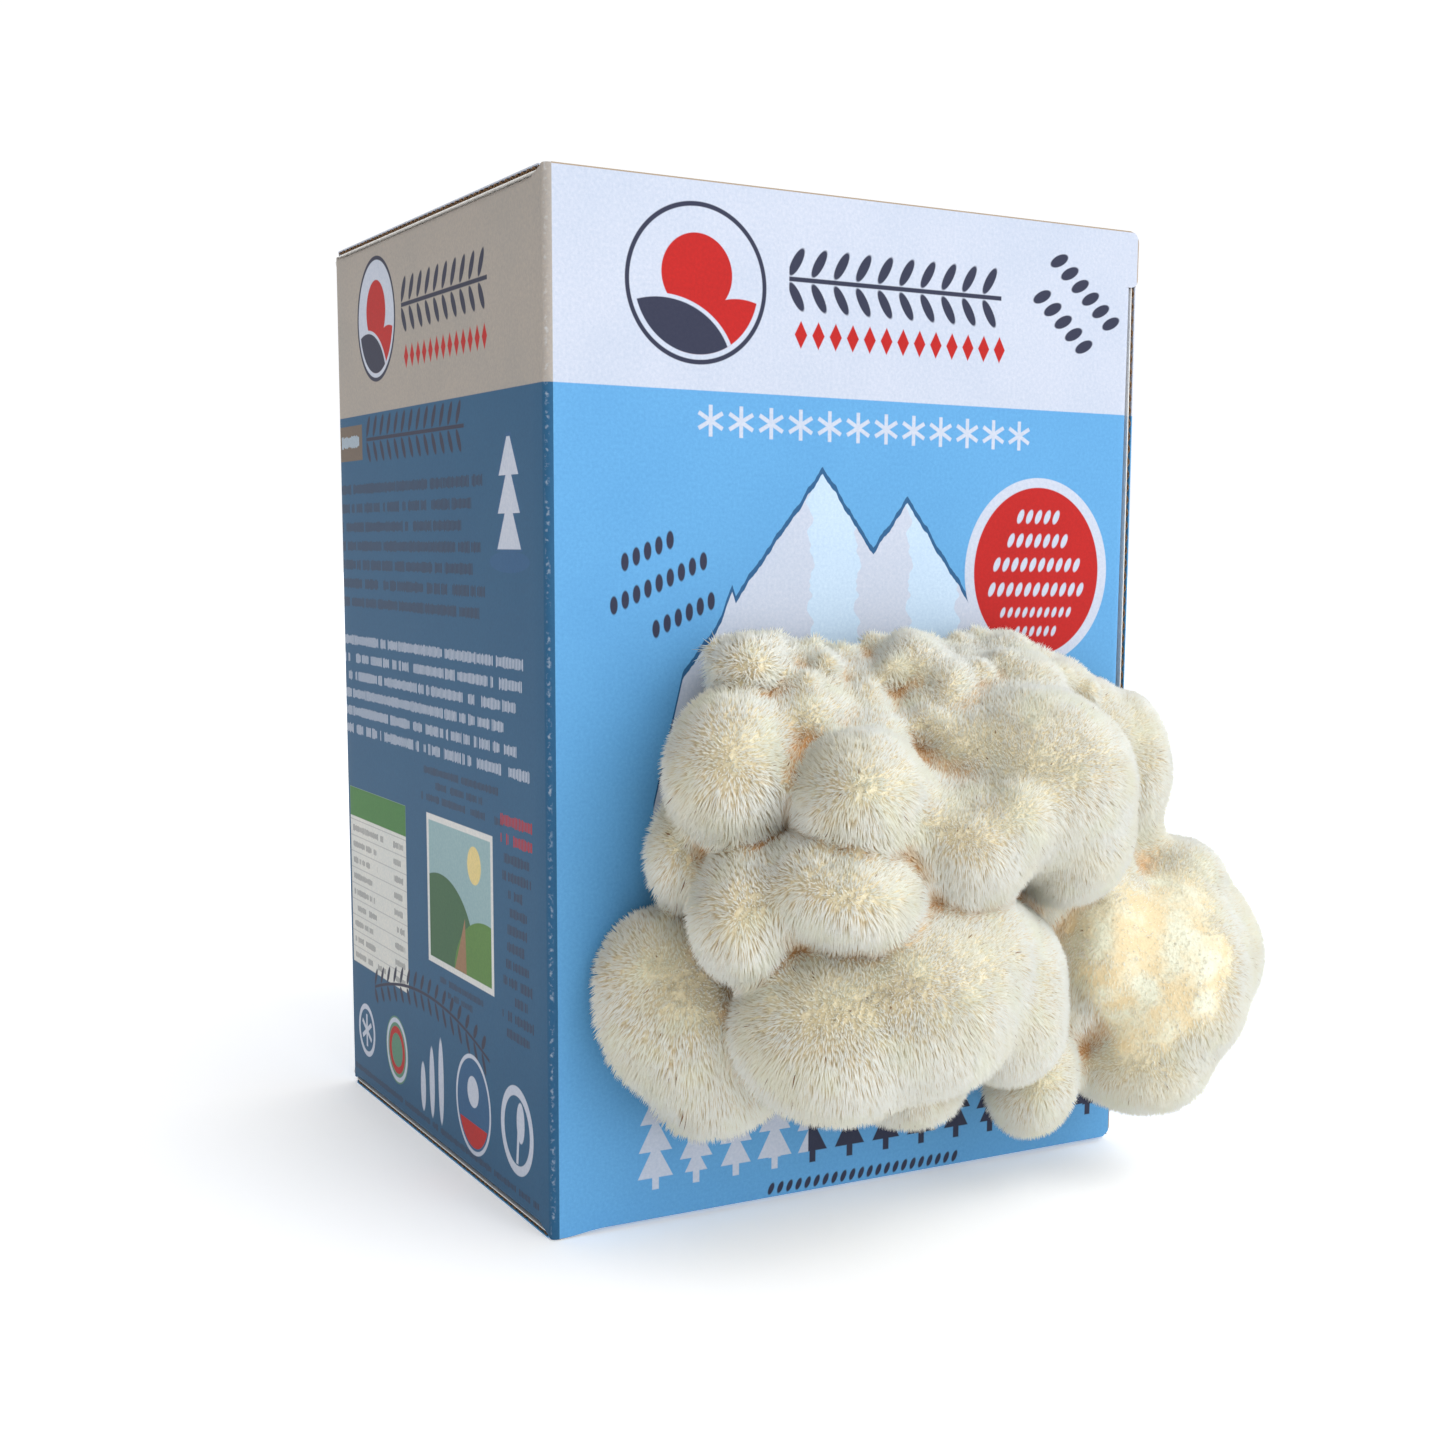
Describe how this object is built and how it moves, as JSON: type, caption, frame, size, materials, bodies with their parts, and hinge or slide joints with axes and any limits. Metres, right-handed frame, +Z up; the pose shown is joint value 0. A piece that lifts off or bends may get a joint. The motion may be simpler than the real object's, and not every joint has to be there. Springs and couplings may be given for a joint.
{
  "type": "lions mane mushroom grow kit",
  "caption": "Mushroom grow kit: a printed corrugated carton standing on end, with a shaggy lion's mane cluster grown out through the window in its front.",
  "frame": {"origin": "middle of the carton's underside, on the surface it stands on", "axes": "+Z up the carton's height, -Y out of the front that the mushroom grows from, +X to the right seen from the front"},
  "size_m": [0.201, 0.2359, 0.25],
  "materials": {
    "printed_board": "matte",
    "bag_film": "satin",
    "sawdust_block": "matte",
    "mushroom": "matte"
  },
  "bodies": {
    "root": {"carton": "printed_board", "grow_bag": "bag_film", "substrate_block": "sawdust_block", "fruit_body": "mushroom"}
  },
  "joints": []
}
